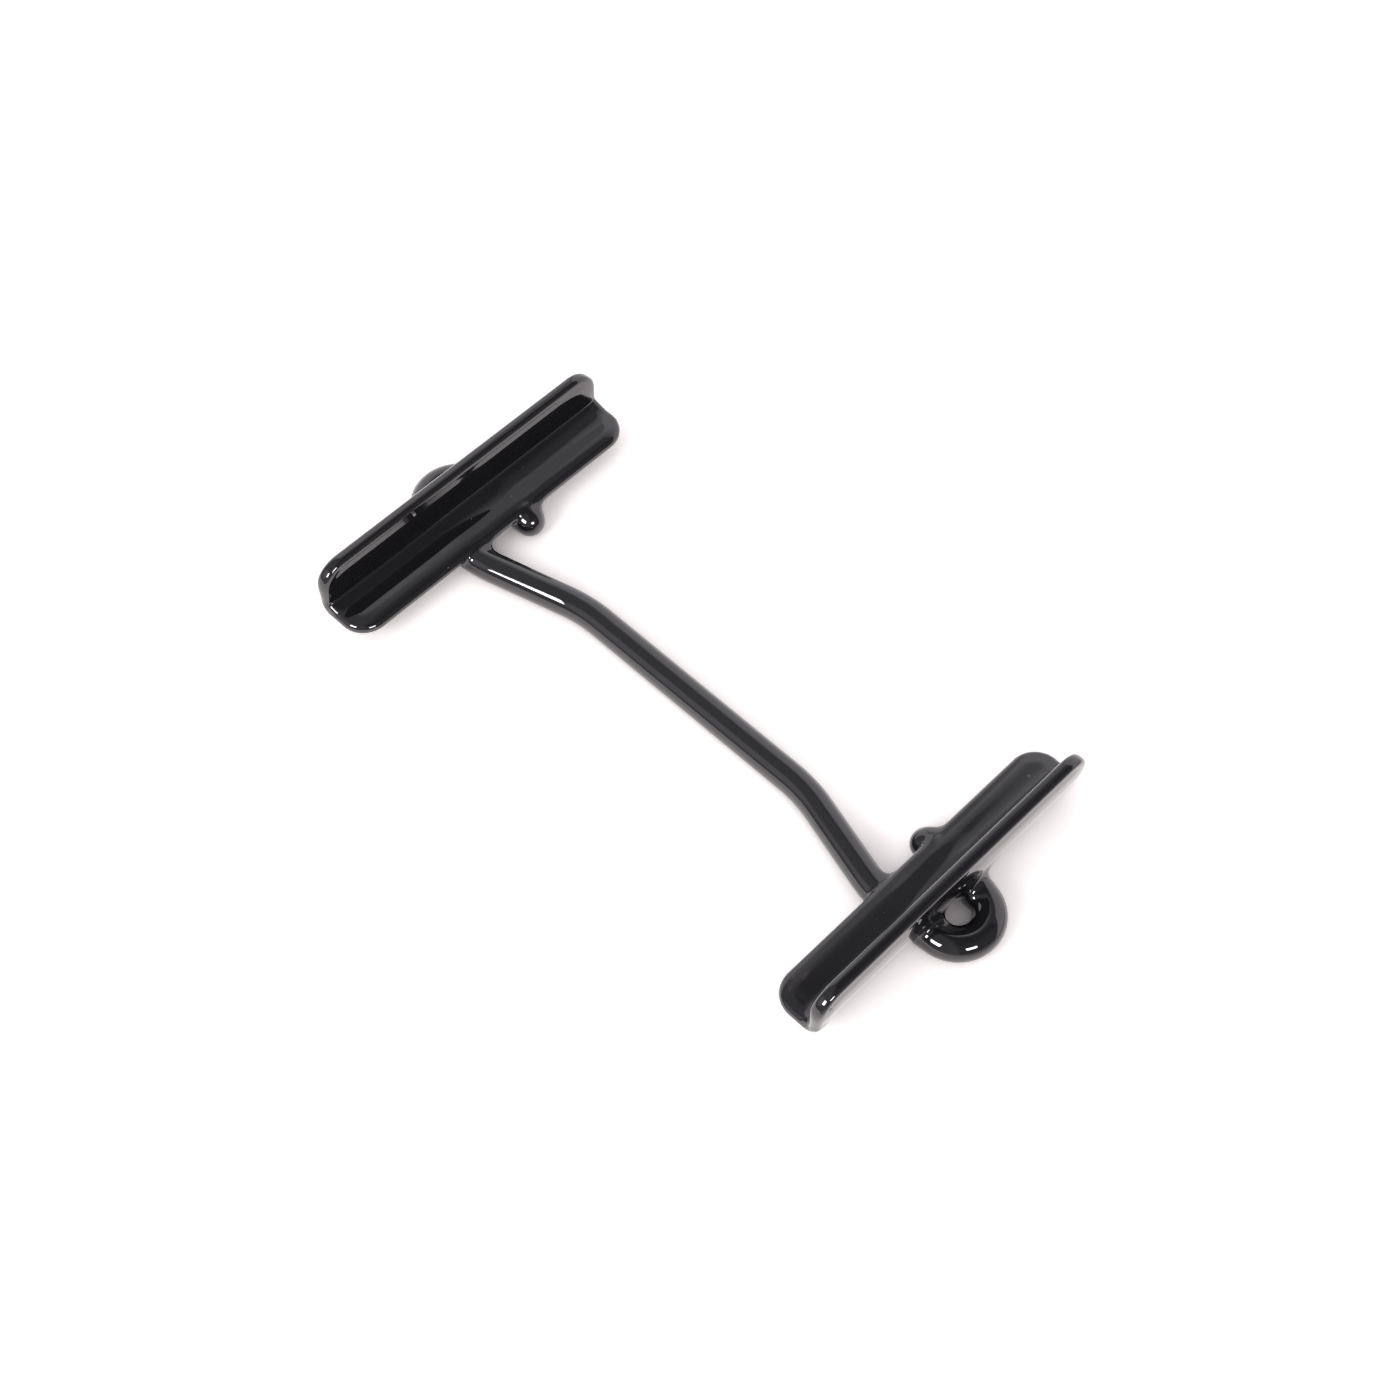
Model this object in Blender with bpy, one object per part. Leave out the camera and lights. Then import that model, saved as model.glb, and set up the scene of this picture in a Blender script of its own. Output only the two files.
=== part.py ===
# Battery hold-down. One round rod is bent into a hairpin eye at each end, and a
# folded angle jaw is welded across it just inside each eye. The whole weldment is
# dipped in thick glossy PVC, so every size here is that of the coated metal.
# It lies as it does on a bench: rod on the ground, jaws open upwards, X along the
# rod, and the origin on the ground midway between the jaws.
import math

import bmesh
import bpy
from mathutils import Vector

# Rod, in metres and radians
ROD_DIAMETER = 0.0088
EYE_RADIUS = 0.0088                 # hairpin bend, to the middle of the rod
EYE_REACH = 0.0008                  # centre of the eye, outboard of the upright flange
LEG_SPLAY = math.radians(3.9)       # how far each leg opens away from the eye's axis
TAIL_OVERHANG = 0.0046              # tail tip, past the free edge of the flat flange
TAIL_ROUND = 0.0036                 # rounding of the tail's cut end
LEG_BEND_SETBACK = 0.0016           # leg's bend, in from that free edge, under the flange
OFFSET_RUN = 0.0350                 # along X, from the leg's bend to the middle run's
BEND_RADIUS = 0.0175                # bends of the rod, to its middle

# Jaws
GRIP_SPACE = 0.1760                 # between the upright flanges, at their foot
JAW_LENGTH = 0.1023
FLAT_WIDTH = 0.0174                 # from the upright's outer face to the free edge
UPRIGHT_HEIGHT = 0.0174             # from the flat flange's underside to the top edge
SHEET = 0.0038
FOLD_RADIUS = 0.0009                # inside of the fold
FOLD_ANGLE = math.radians(88.3)     # short of square, so the uprights lean out
CORNER_RADIUS = 0.0079              # free corners of both flanges
SADDLE_DEPTH = 0.0030               # how far the flat flange sits down over the rod

# Weld beads in the notch between rod and flange, and the gap between pieces that touch
WELD_LEG = 0.0022
WELD_LENGTH = 0.0090
WELD_TAPER = 0.55                   # size of a bead at its ends, against its middle
CLEARANCE = 0.0003

# How finely round shapes are cut into facets
ROD_SIDES = 16
EYE_STEPS = 20
BEND_STEPS = 5
TIP_STEPS = 3
CORNER_STEPS = 6
FOLD_STEPS = 5
EDGE_STEPS = 6
WELD_FLANK_STEPS = 3
WELD_RUN_STEPS = 6

# Worked out from the sizes above
ROD_RADIUS = ROD_DIAMETER / 2
FLANGE_BASE = ROD_DIAMETER - SADDLE_DEPTH
FOLD_CENTRE_X = GRIP_SPACE / 2 - FOLD_RADIUS * math.sin(FOLD_ANGLE)
OUTER_FACE_X = FOLD_CENTRE_X + (FOLD_RADIUS + SHEET) * math.sin(FOLD_ANGLE)
FREE_EDGE_X = OUTER_FACE_X - FLAT_WIDTH
EYE_CENTRE_X = OUTER_FACE_X + EYE_REACH


def clear_scene():
    for obj in list(bpy.data.objects):
        bpy.data.objects.remove(obj, do_unlink=True)


def coat_material(name, colour, roughness):
    """Glossy black PVC dip."""
    material = bpy.data.materials.new(name)
    material.use_nodes = True
    shader = material.node_tree.nodes["Principled BSDF"]
    shader.inputs["Base Color"].default_value = (*colour, 1.0)
    shader.inputs["Roughness"].default_value = roughness
    shader.inputs["Metallic"].default_value = 0.0
    return material


def smooth_mesh(name, bm):
    """Turn the faces outwards and shade round surfaces smooth."""
    bmesh.ops.recalc_face_normals(bm, faces=bm.faces)
    mesh = bpy.data.meshes.new(name)
    bm.to_mesh(mesh)
    bm.free()
    mesh.shade_smooth()
    mesh.set_sharp_from_angle(angle=math.radians(40))
    return mesh


def place(name, mesh, location, turn, parent):
    obj = bpy.data.objects.new(name, mesh)
    bpy.context.scene.collection.objects.link(obj)
    obj.location = location
    obj.rotation_euler = (0.0, 0.0, turn)
    obj.parent = parent
    return obj


def empty(name, location, parent):
    obj = bpy.data.objects.new(name, None)
    bpy.context.scene.collection.objects.link(obj)
    obj.location = location
    obj.parent = parent
    return obj


# Rod

def corner_arc(before, corner, after, radius):
    """Points of the round bend that replaces a corner of the rod's path."""
    way_in = (corner - before).normalized()
    way_out = (after - corner).normalized()
    half = way_in.angle(way_out) / 2
    start = corner - way_in * radius * math.tan(half)
    inward = (way_out - way_in).normalized()
    centre = corner + inward * radius / math.cos(half)
    side = start - centre
    points = []
    for step in range(BEND_STEPS + 1):
        turn = 2 * half * step / BEND_STEPS
        points.append(centre + side * math.cos(turn) + way_in * radius * math.sin(turn))
    return points


def rod_half_path():
    """Middle of the rod from the tail's tip, round the eye, to the last bend."""
    leg = Vector((-math.cos(LEG_SPLAY), math.sin(LEG_SPLAY), 0.0))
    eye = Vector((EYE_CENTRE_X, 0.0, 0.0))
    sweep = math.pi / 2 - LEG_SPLAY
    loop = []
    for step in range(EYE_STEPS + 1):
        angle = sweep - 2 * sweep * step / EYE_STEPS
        loop.append(eye + EYE_RADIUS * Vector((math.cos(angle), math.sin(angle), 0.0)))

    tip_x = FREE_EDGE_X - TAIL_OVERHANG
    tip = loop[0] + leg * ((loop[0].x - tip_x) / math.cos(LEG_SPLAY))

    far_leg = Vector((leg.x, -leg.y, 0.0))
    bend_x = FREE_EDGE_X + LEG_BEND_SETBACK
    leg_bend = loop[-1] + far_leg * ((loop[-1].x - bend_x) / math.cos(LEG_SPLAY))
    middle_bend = Vector((bend_x - OFFSET_RUN, 0.0, 0.0))
    return ([tip] + loop
            + corner_arc(loop[-1], leg_bend, middle_bend, BEND_RADIUS)
            + corner_arc(leg_bend, middle_bend, middle_bend - Vector((1.0, 0.0, 0.0)), BEND_RADIUS))


def mirrored(points):
    return [Vector((-point.x, point.y, point.z)) for point in points]


def path_frames(points):
    """Point, sideways direction and mitre stretch at each point of a flat path."""
    frames = []
    last = len(points) - 1
    for index, point in enumerate(points):
        way_in = (point - points[max(index - 1, 0)]).normalized()
        way_out = (points[min(index + 1, last)] - point).normalized()
        along = (way_in + way_out).normalized()
        side = along.cross(Vector((0.0, 0.0, 1.0)))
        stretch = 1 / max(along.dot(way_out), along.dot(way_in))
        frames.append((point, along, side, stretch))
    return frames


def loft(bm, rings):
    """Skin between rings with equal counts, closed with a cap at both ends."""
    count = len(rings[0])
    loops = [[bm.verts.new(point) for point in ring] for ring in rings]
    for first, second in zip(loops, loops[1:]):
        for index in range(count):
            after = (index + 1) % count
            bm.faces.new((first[index], first[after], second[after], second[index]))
    bm.faces.new(loops[0])
    bm.faces.new(loops[-1])


def ring_round(point, side, radius, stretch):
    ring = []
    for step in range(ROD_SIDES):
        angle = 2 * math.pi * step / ROD_SIDES
        across = side * (radius * stretch * math.cos(angle))
        ring.append(point + across + Vector((0.0, 0.0, radius * math.sin(angle))))
    return ring


def rod_mesh():
    half = rod_half_path()
    frames = path_frames(half + mirrored(half)[::-1])
    rings = [ring_round(point, side, ROD_RADIUS, stretch) for point, _, side, stretch in frames[1:-1]]

    def tip_rings(frame, inwards):
        point, _, side, _ = frame
        tip_round = min(TAIL_ROUND, ROD_RADIUS * 0.98)
        rounded = []
        for step in range(TIP_STEPS + 1):
            angle = math.pi / 2 * step / TIP_STEPS
            depth = tip_round * (1 - math.sin(angle))
            radius = ROD_RADIUS - tip_round * (1 - math.cos(angle))
            rounded.append(ring_round(point + inwards * depth, side, radius, 1.0))
        return rounded[::-1]

    start = tip_rings(frames[0], frames[0][1])
    end = tip_rings(frames[-1], -frames[-1][1])
    bm = bmesh.new()
    loft(bm, start + rings + end[::-1])
    return smooth_mesh("cross_rod", bm)


# Jaws

def fold_point(along, proud):
    """Place in a jaw's section of a point of the flat blank.

    along runs over the blank's middle surface from the flat flange's free edge to the
    top edge of the upright, and proud stands off that surface towards the battery.
    """
    middle_radius = FOLD_RADIUS + SHEET / 2
    flat = FOLD_CENTRE_X - FREE_EDGE_X
    bend = middle_radius * FOLD_ANGLE
    turn = min(max((along - flat) / middle_radius, 0.0), FOLD_ANGLE)
    reach = middle_radius - proud
    x = FOLD_CENTRE_X - OUTER_FACE_X + reach * math.sin(turn)
    z = SHEET / 2 + middle_radius - reach * math.cos(turn)
    if along < flat:
        x += along - flat
    if along > flat + bend:
        x += (along - flat - bend) * math.cos(FOLD_ANGLE)
        z += (along - flat - bend) * math.sin(FOLD_ANGLE)
    return x, z


def blank_edge(inset):
    """One end of the blank's outline, drawn in by inset: (along, across) pairs."""
    middle_radius = FOLD_RADIUS + SHEET / 2
    flat = FOLD_CENTRE_X - FREE_EDGE_X
    bend = middle_radius * FOLD_ANGLE
    fold_top = SHEET / 2 + middle_radius * (1 - math.cos(FOLD_ANGLE))
    upright = (UPRIGHT_HEIGHT - fold_top) / math.sin(FOLD_ANGLE)
    length = flat + bend + upright

    # a free corner is no larger than the flange it rounds
    corner = min(CORNER_RADIUS, flat, upright)
    rounded = corner - inset
    straight = JAW_LENGTH / 2 - corner
    edge = []
    for step in range(CORNER_STEPS + 1):
        angle = math.pi / 2 * step / CORNER_STEPS
        edge.append((corner - rounded * math.cos(angle), straight + rounded * math.sin(angle)))
    for step in range(FOLD_STEPS + 1):
        edge.append((flat + bend * step / FOLD_STEPS, straight + rounded))
    for step in range(CORNER_STEPS + 1):
        angle = math.pi / 2 * step / CORNER_STEPS
        edge.append((length - corner + rounded * math.sin(angle), straight + rounded * math.cos(angle)))
    return edge


def jaw_mesh(name, grow):
    """Folded blank with full-round edges, its whole surface moved out by grow."""
    half_sheet = SHEET / 2 + grow
    bm = bmesh.new()
    rings = []
    for step in range(EDGE_STEPS + 1):
        angle = math.pi * (step / EDGE_STEPS - 0.5)
        edge = blank_edge(SHEET / 2 - half_sheet * math.cos(angle))
        ring = []
        for sign, side in ((1, edge), (-1, edge[::-1])):
            for along, across in side:
                x, z = fold_point(along, half_sheet * math.sin(angle))
                ring.append(bm.verts.new((x, sign * across, z)))
        rings.append(ring)

    count = len(rings[0])
    for lower, upper in zip(rings, rings[1:]):
        for index in range(count):
            after = (index + 1) % count
            bm.faces.new((lower[index], lower[after], upper[after], upper[index]))
    for face_ring in (rings[0], rings[-1]):
        for index in range(count // 2 - 1):
            mirror = count - 1 - index
            bm.faces.new((face_ring[index], face_ring[index + 1], face_ring[mirror - 1], face_ring[mirror]))
    return smooth_mesh(name, bm)


# Weld beads

def bead_section(outward):
    """Section of a bead in the notch between rod and flange: (sideways, up) pairs."""
    radius = ROD_RADIUS + CLEARANCE
    ceiling = FLANGE_BASE - ROD_RADIUS - CLEARANCE
    top = math.asin(ceiling / radius)
    section = []
    for step in range(WELD_FLANK_STEPS + 1):
        angle = top - WELD_LEG / radius * step / WELD_FLANK_STEPS
        section.append((outward * radius * math.cos(angle), radius * math.sin(angle)))
    section.append((outward * (radius * math.cos(top) + WELD_LEG), ceiling))
    return section


def bead_mesh(name, leg_path, outward):
    """Bead along one side of a leg, thinner at both ends. Its origin is at its middle."""
    section = bead_section(outward)
    root = Vector((section[0][0], section[0][1]))
    bm = bmesh.new()
    rings = []
    last = len(leg_path) - 1
    middle = leg_path[last // 2]
    for index, (point, _, side, stretch) in enumerate(path_frames(leg_path)):
        size = WELD_TAPER if index in (0, last) else 1.0
        ring = []
        for across, up in section:
            across, up = root + (Vector((across, up)) - root) * size
            ring.append(point - middle + side * (across * stretch) + Vector((0.0, 0.0, up)))
        rings.append(ring)
    loft(bm, rings)
    return smooth_mesh(name, bm), middle


def point_at(points, x):
    """Point of a path that runs one way along X."""
    for first, second in zip(points, points[1:]):
        if min(first.x, second.x) <= x <= max(first.x, second.x):
            return first.lerp(second, (x - first.x) / (second.x - first.x))
    return points[-1]


def weld_stretch(leg):
    """Welded stretch of a leg, in the middle of the flat flange's straight underside."""
    centre = (FREE_EDGE_X + SHEET / 2 + FOLD_CENTRE_X) / 2
    stretch = []
    for step in range(WELD_RUN_STEPS + 1):
        stretch.append(point_at(leg, centre + WELD_LENGTH * (step / WELD_RUN_STEPS - 0.5)))
    return stretch


# Build

clear_scene()
hold_down = empty("hold_down", (0.0, 0.0, 0.0), None)
black = (0.012, 0.012, 0.013)

rod = place("cross_rod", rod_mesh(), (0.0, 0.0, ROD_RADIUS), 0.0, hold_down)
rod.data.materials.append(coat_material("rod_coat", black, 0.12))

jaw_shape = jaw_mesh("jaw", 0.0)
cutter_shape = jaw_mesh("jaw_clearance", CLEARANCE)
jaw_shape.materials.append(coat_material("jaw_coat", black, 0.10))
for side_name, sign, turn in (("right", 1, 0.0), ("left", -1, math.pi)):
    seat = (sign * OUTER_FACE_X, 0.0, FLANGE_BASE)
    place(side_name + "_jaw", jaw_shape, seat, turn, hold_down)
    cutter = place(side_name + "_jaw_clearance", cutter_shape, seat, turn, hold_down)
    cutter.hide_render = True
    cutter.display_type = "WIRE"
    notch = rod.modifiers.new(side_name + "_notch", "BOOLEAN")
    notch.operation = "DIFFERENCE"
    notch.object = cutter

half_path = rod_half_path()
legs = (("tail", half_path[:2], 1), ("leg", half_path[EYE_STEPS + 1:], -1))
weld_coat = coat_material("weld_coat", black, 0.15)
for side_name, sign in (("right", 1), ("left", -1)):
    for leg_name, leg, inner_side in legs:
        run = weld_stretch(leg)
        if sign < 0:
            run = mirrored(run)
        for face_name, facing in (("inner", 1), ("outer", -1)):
            bead_name = side_name + "_" + leg_name + "_weld_" + face_name
            bead, spot = bead_mesh(bead_name, run, facing * inner_side * sign)
            bead.materials.append(weld_coat)
            place(bead_name, bead, spot + Vector((0.0, 0.0, ROD_RADIUS)), 0.0, hold_down)
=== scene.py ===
# Battery hold-down, dipped in thick glossy black PVC: one continuous skin over the
# welded rod and jaws, on a plain white floor. Lengths in the dictionaries are in mm.
import math

import bmesh
import bpy
from mathutils import Matrix, Vector


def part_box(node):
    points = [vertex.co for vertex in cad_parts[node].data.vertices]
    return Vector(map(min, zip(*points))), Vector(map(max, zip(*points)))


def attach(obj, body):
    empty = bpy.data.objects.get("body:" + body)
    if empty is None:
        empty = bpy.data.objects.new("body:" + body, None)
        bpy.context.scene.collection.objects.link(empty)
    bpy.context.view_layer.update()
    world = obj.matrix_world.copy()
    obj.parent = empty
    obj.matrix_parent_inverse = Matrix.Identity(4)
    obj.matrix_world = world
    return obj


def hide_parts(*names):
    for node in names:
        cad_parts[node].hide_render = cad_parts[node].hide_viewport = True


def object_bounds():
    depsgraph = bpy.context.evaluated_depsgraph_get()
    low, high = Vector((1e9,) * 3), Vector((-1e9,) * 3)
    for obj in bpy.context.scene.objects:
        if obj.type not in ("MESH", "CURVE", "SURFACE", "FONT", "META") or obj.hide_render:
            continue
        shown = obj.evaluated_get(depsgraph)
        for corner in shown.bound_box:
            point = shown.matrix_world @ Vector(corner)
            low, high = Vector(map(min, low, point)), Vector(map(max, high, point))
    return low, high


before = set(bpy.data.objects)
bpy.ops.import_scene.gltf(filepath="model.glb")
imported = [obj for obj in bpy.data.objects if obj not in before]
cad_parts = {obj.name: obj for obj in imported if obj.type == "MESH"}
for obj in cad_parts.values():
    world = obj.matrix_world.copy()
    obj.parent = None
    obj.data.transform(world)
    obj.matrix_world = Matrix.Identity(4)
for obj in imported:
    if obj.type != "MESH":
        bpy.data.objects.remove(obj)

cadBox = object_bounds()
mm = 0.001

rodLow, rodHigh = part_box("cross_rod")
jawLow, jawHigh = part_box("right_jaw")


def addNode(tree, kind, inputs=None, **settings):
    # an input given as a node is linked to that node's first output in use
    node = tree.nodes.new(kind)
    for name, value in settings.items():
        setattr(node, name, value)
    for key, value in (inputs or {}).items():
        if isinstance(value, bpy.types.Node):
            value = next(socket for socket in value.outputs if socket.enabled)
        if isinstance(value, bpy.types.NodeSocket):
            tree.links.new(value, node.inputs[key])
        else:
            node.inputs[key].default_value = value
    return node


def colour(code):
    # sRGB hex to the linear values that Blender mixes
    parts = [int(code[place:place + 2], 16) / 255 for place in (1, 3, 5)]
    linear = (part / 12.92 if part <= 0.04045 else ((part + 0.055) / 1.055) ** 2.4 for part in parts)
    return [*linear, 1.0]


# Camera, as the photograph was taken
view = dict(
    target=(3.1, -0.7, 7.7),    # point that it looks at
    azimuth=43.3,               # degrees, round the upright axis
    elevation=57.3,             # degrees above the floor
    roll=1.0,                   # degrees, round its own axis
    distance=643.9,
    nearest=10.0,               # nothing closer than this shows
    sensor=36.0,
    focal=2430.6,               # in pixels of the 1400 pixel frame
    framePixels=1400,
)


def addCamera():
    camera = bpy.data.cameras.new("camera")
    camera.sensor_width = view["sensor"]
    camera.lens = camera.sensor_width * view["focal"] / view["framePixels"]
    camera.clip_start = view["nearest"] * mm
    azimuth = math.radians(view["azimuth"])
    elevation = math.radians(view["elevation"])
    back = Vector((math.sin(azimuth) * math.cos(elevation), -math.cos(azimuth) * math.cos(elevation),
                   math.sin(elevation)))
    right = Vector((math.cos(azimuth), math.sin(azimuth), 0.0))
    up = back.cross(right)
    axes = Matrix((right, up, back)).transposed() @ Matrix.Rotation(math.radians(view["roll"]), 3, "Z")
    holder = bpy.data.objects.new("camera", camera)
    place = (Vector(view["target"]) + back * view["distance"]) * mm
    holder.matrix_world = Matrix.Translation(place) @ axes.to_4x4()
    bpy.context.scene.collection.objects.link(holder)
    bpy.context.scene.camera = holder


addCamera()
print("camera placed")

# Studio: white floor, white backdrop behind and to the left, dim room on the other
# side, and two soft boxes either side of the camera. A way is a direction from the
# part, and an edge is where what lies that way fades in, as a cosine to it.
studio = dict(
    floorSize=6000.0,
    paper="#f6f2ee",
    light="#fcf9ff",            # cast of the sky and the backdrop
    behind="#ffffff",           # what shows behind the floor
    paperShown=1.7,             # how far past white the paper is exposed
    paperMirrored=2.7,          # and as the glossy coat sees it
    # painted light: the paper as the coat mirrors it dims from paperMirrored to paperFar along +X, a painted
    # falloff of light
    paperFar=1.1,               # the same further off
    paperEdge=(103.0, 150.0),   # along X, where that begins and is reached
    skyLight=0.78,              # light from the sky
    skyWay=(-0.3, -0.95, 0.0),  # brighter on this side
    skyLean=0.6,                # by this share
    backdrop=(1.85, 0.85),      # brightness of the backdrop in reflections, lower and higher up
    backdropHeights=(0.755, 0.86),
    backdropLow=1.9,            # and close to the floor
    lowEdge=(0.25, 0.65),
    backdropWay=(-0.396, 0.761, -0.513),
    backdropEdge=(-0.01, 0.02),
    corner=0.9,                 # brightness of the upright line where its two sides meet
    cornerWay=(0.656, 0.755, 0.0),      # square to the way there
    cornerEdge=(0.03, 0.07),
    room=(0.15, 0.53),          # brightness of the dim room, far side and near side
    roomWay=(0.7, 0.7, 0.1),
    roomEdge=(0.03, 0.18),
    patches=(                   # paler places in it: way, edge, brightness
        ((1.0, 0.0, 0.0), (0.2, 0.7), 0.15),            # on the right
        ((-0.387, -0.776, 0.498), (0.92, 0.985), 0.7),  # card low down beside the camera
        ((-0.35, 0.93, 0.0), (0.40, 0.46), 0.2),        # towards the backdrop
    ),
    boxes=(                     # degrees: azimuth from +X, height, width and depth
        (-88.0, 37.0, 18.0, 16.5),
        (-15.5, 33.0, 18.0, 12.0),
    ),
    boxSoft=0.04,               # share of their size by which their outline fades each way
    boxShown=45.0,              # their brightness in reflections
    boxLight=0.11,              # light that each throws on the floor
    boxDistance=1200.0,
)


def boxAxes(azimuth, height):
    # ways from the part to the box, across the box and up it
    azimuth, height = math.radians(azimuth), math.radians(height)
    level = Vector((math.cos(azimuth), math.sin(azimuth), 0.0))
    way = level * math.cos(height) + Vector((0.0, 0.0, math.sin(height)))
    across = Vector((-math.sin(azimuth), math.cos(azimuth), 0.0))
    return way, across, way.cross(across)


def addWorld():
    world = bpy.data.worlds.new("studio")
    world.use_nodes = True
    tree = world.node_tree
    tree.nodes.clear()
    way = addNode(tree, "ShaderNodeTexCoord").outputs["Generated"]
    up = (0.0, 0.0, 1.0)

    def facing(direction, edge, away, towards):
        # one brightness away from a direction, another towards it
        along = addNode(tree, "ShaderNodeVectorMath", {0: way, 1: direction}, operation="DOT_PRODUCT")
        return addNode(tree, "ShaderNodeMapRange", {"Value": along, "From Min": edge[0], "From Max": edge[1],
                       "To Min": away, "To Max": towards}, interpolation_type="SMOOTHSTEP")

    def window(azimuth, height, width, depth):
        # 1 inside a box's outline as seen from the part, 0 outside
        ahead, *sides = (addNode(tree, "ShaderNodeVectorMath", {0: way, 1: axis}, operation="DOT_PRODUCT")
                         for axis in boxAxes(azimuth, height))
        inside = addNode(tree, "ShaderNodeMath", {0: ahead, 1: 0.0}, operation="GREATER_THAN")
        for side, angle in zip(sides, (width, depth)):
            edge = math.tan(math.radians(angle) / 2)
            slant = addNode(tree, "ShaderNodeMath", {0: side, 1: ahead}, operation="DIVIDE")
            slant = addNode(tree, "ShaderNodeMath", {0: slant}, operation="ABSOLUTE")
            within = addNode(tree, "ShaderNodeMapRange", {"Value": slant,
                             "From Min": edge * (1 - studio["boxSoft"]),
                             "From Max": edge * (1 + studio["boxSoft"]), "To Min": 1.0, "To Max": 0.0})
            inside = addNode(tree, "ShaderNodeMath", {0: inside, 1: within}, operation="MULTIPLY")
        return inside

    # what the coat mirrors: the dim room, the backdrop and the boxes
    room = facing(studio["roomWay"], studio["roomEdge"], studio["room"][1], studio["room"][0])
    for direction, edge, brightness in studio["patches"]:
        patch = facing(direction, edge, 0.0, brightness)
        room = addNode(tree, "ShaderNodeMath", {0: room, 1: patch}, operation="ADD")

    fromCorner = addNode(tree, "ShaderNodeVectorMath", {0: way, 1: studio["cornerWay"]},
                         operation="DOT_PRODUCT")
    fromCorner = addNode(tree, "ShaderNodeMath", {0: fromCorner}, operation="ABSOLUTE")
    backdrop = addNode(tree, "ShaderNodeMapRange", {"Value": fromCorner, "From Min": studio["cornerEdge"][0],
                       "From Max": studio["cornerEdge"][1], "To Min": studio["corner"],
                       "To Max": facing(up, studio["backdropHeights"], *studio["backdrop"])},
                       interpolation_type="SMOOTHSTEP")
    backdrop = addNode(tree, "ShaderNodeMix", {"Factor": facing(up, studio["lowEdge"], 1.0, 0.0),
                       "A": backdrop, "B": studio["backdropLow"]})
    inBackdrop = facing(studio["backdropWay"], studio["backdropEdge"], 0.0, 1.0)
    seen = addNode(tree, "ShaderNodeMix", {"Factor": inBackdrop, "A": room, "B": backdrop})
    for box in studio["boxes"]:
        seen = addNode(tree, "ShaderNodeMix", {"Factor": window(*box), "A": seen, "B": studio["boxShown"]})

    # reflections seen straight from the camera get the room, and matt surfaces soft light
    rays = addNode(tree, "ShaderNodeLightPath").outputs
    mirrored = addNode(tree, "ShaderNodeMath", {0: rays["Is Glossy Ray"], 1: rays["Is Transmission Ray"]},
                       operation="MAXIMUM")
    direct = addNode(tree, "ShaderNodeMath", {0: rays["Diffuse Depth"], 1: 0.5}, operation="LESS_THAN")
    mirrored = addNode(tree, "ShaderNodeMath", {0: mirrored, 1: direct}, operation="MULTIPLY")
    along = addNode(tree, "ShaderNodeVectorMath", {0: way, 1: studio["skyWay"]}, operation="DOT_PRODUCT")
    soft = addNode(tree, "ShaderNodeMapRange", {"Value": along, "From Min": -1.0, "From Max": 1.0,
                   "To Min": studio["skyLight"] * (1 - studio["skyLean"]),
                   "To Max": studio["skyLight"] * (1 + studio["skyLean"])})
    level = addNode(tree, "ShaderNodeMix", {"Factor": mirrored, "A": soft, "B": seen})
    level = addNode(tree, "ShaderNodeMix", {"Factor": rays["Is Camera Ray"], "A": level, "B": 1.0})
    cast = addNode(tree, "ShaderNodeMix", {"Factor": rays["Is Camera Ray"], "A": colour(studio["light"]),
                   "B": colour(studio["behind"])}, data_type="RGBA")
    sky = addNode(tree, "ShaderNodeBackground", {"Color": cast, "Strength": level})
    addNode(tree, "ShaderNodeOutputWorld", {"Surface": sky})
    bpy.context.scene.world = world


def addLamps():
    # the boxes' own light, soft and weak beside the sky's
    distance = studio["boxDistance"] * mm
    for azimuth, height, width, depth in studio["boxes"]:
        way, across, upright = boxAxes(azimuth, height)
        lamp = bpy.data.lights.new("soft_box", "AREA")
        lamp.shape = "RECTANGLE"
        lamp.size, lamp.size_y = (2 * math.tan(math.radians(angle) / 2) * distance
                                  for angle in (width, depth))
        # power that lights white paper beside the part to boxLight
        lamp.energy = studio["boxLight"] * (math.pi * distance) ** 2 / way.z
        holder = bpy.data.objects.new("soft_box", lamp)
        holder.location = way * distance
        holder.rotation_euler = way.to_track_quat("Z", "Y").to_euler()
        holder.visible_camera = False
        holder.visible_glossy = False       # the world shows them in reflections
        bpy.context.scene.collection.objects.link(holder)


def paperMaterial():
    # white paper sweep: matt, and lit past white where nothing shades it; in reflections it has a painted
    # falloff of light, dimmer further off along +X
    material = bpy.data.materials.new("white_paper")
    material.use_nodes = True
    tree = material.node_tree
    tree.nodes.clear()
    rays = addNode(tree, "ShaderNodeLightPath").outputs
    mirrored = addNode(tree, "ShaderNodeMath", {0: rays["Is Glossy Ray"], 1: rays["Is Transmission Ray"]},
                       operation="MAXIMUM")
    level = addNode(tree, "ShaderNodeMapRange", {"Value": rays["Is Camera Ray"], "To Min": 1.0,
                    "To Max": studio["paperShown"]})
    # painted falloff of light: reflections see the paper dimmer further off along +X
    place = addNode(tree, "ShaderNodeTexCoord").outputs["Object"]
    place = addNode(tree, "ShaderNodeSeparateXYZ", {0: place}).outputs["X"]
    reflected = addNode(tree, "ShaderNodeMapRange", {"Value": place, "From Min": studio["paperEdge"][0] * mm,
                        "From Max": studio["paperEdge"][1] * mm, "To Min": studio["paperMirrored"],
                        "To Max": studio["paperFar"]}, interpolation_type="SMOOTHSTEP")
    level = addNode(tree, "ShaderNodeMix", {"Factor": mirrored, "A": level, "B": reflected})
    shown = addNode(tree, "ShaderNodeVectorMath", {0: colour(studio["paper"])[:3], "Scale": level},
                    operation="SCALE")
    paper = addNode(tree, "ShaderNodeBsdfDiffuse", {"Color": shown})
    addNode(tree, "ShaderNodeOutputMaterial", {"Surface": paper})
    return material


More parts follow.
